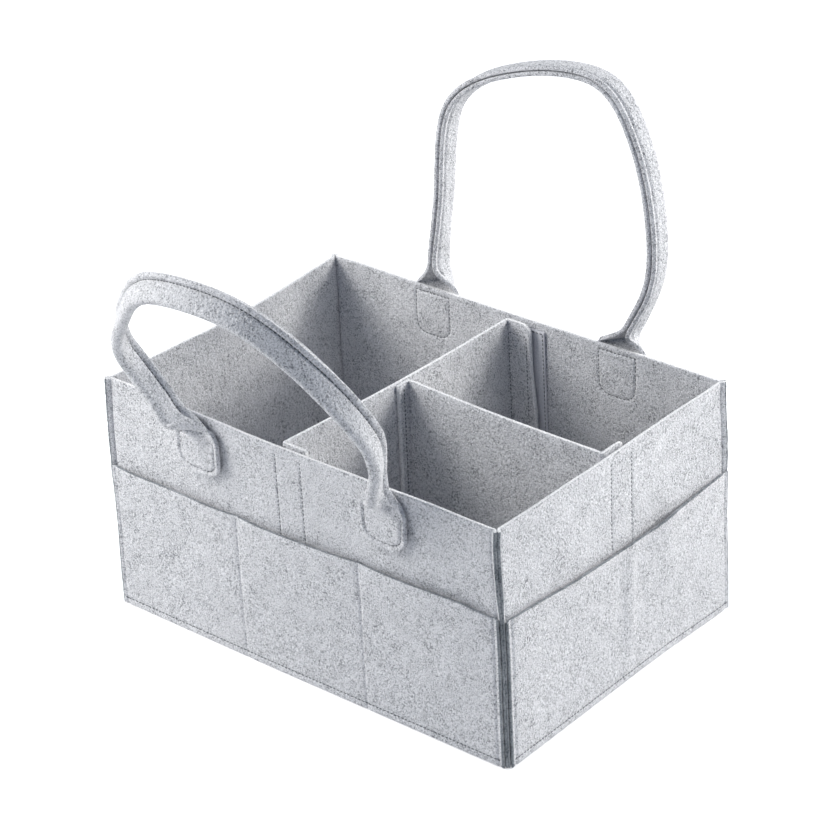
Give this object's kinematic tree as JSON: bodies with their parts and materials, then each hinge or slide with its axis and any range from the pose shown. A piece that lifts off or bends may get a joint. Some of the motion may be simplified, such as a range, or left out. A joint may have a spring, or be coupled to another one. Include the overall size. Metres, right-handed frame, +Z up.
{
  "type": "diaper caddy",
  "caption": "Open felt caddy with sewn corner seams, outer pockets, folded strap handles and a T-shaped divider that lifts out.",
  "frame": {"origin": "centre of the underside of the base, on the floor", "axes": "+Z up to the rim, +X along the long side to the wall that carries the divider's leg, -Y to the front with the leaning handle"},
  "size_m": [0.3466, 0.3365, 0.3497],
  "materials": {
    "felt": "matt pressed felt, light grey with darker fibres",
    "loop_tape": "brushed loop pile",
    "hook_tape": "woven tape with small hooks"
  },
  "bodies": {
    "box": {"base_panel": "felt", "front_wall": "felt", "back_wall": "felt", "left_wall": "felt", "right_wall": "felt", "front_pocket": "felt", "back_pocket": "felt", "left_pocket": "felt", "right_pocket": "felt", "front_left_tab": "felt", "front_right_tab": "felt", "back_left_tab": "felt", "back_right_tab": "felt", "loop_front": "loop_tape", "loop_back": "loop_tape", "loop_right": "loop_tape"},
    "front_handle": {"front_handle": "felt"},
    "back_handle": {"back_handle": "felt"},
    "divider": {"divider_cross": "felt", "divider_leg": "felt", "hook_front": "hook_tape", "hook_back": "hook_tape", "hook_right": "hook_tape"}
  },
  "joints": [
    {"name": "front_handle_swing", "type": "hinge", "parent": "box", "child": "front_handle", "pos_m": [0, -0.1158, 0.1705], "axis": [1, 0, 0], "range_deg": [-61, 75]},
    {"name": "back_handle_swing", "type": "hinge", "parent": "box", "child": "back_handle", "pos_m": [0, 0.1158, 0.1705], "axis": [-1, 0, 0], "range_deg": [-44, 92]},
    {"name": "divider_lift", "type": "slide", "parent": "box", "child": "divider", "axis": [0, 0, 1], "range_m": [0, 0.105]}
  ]
}
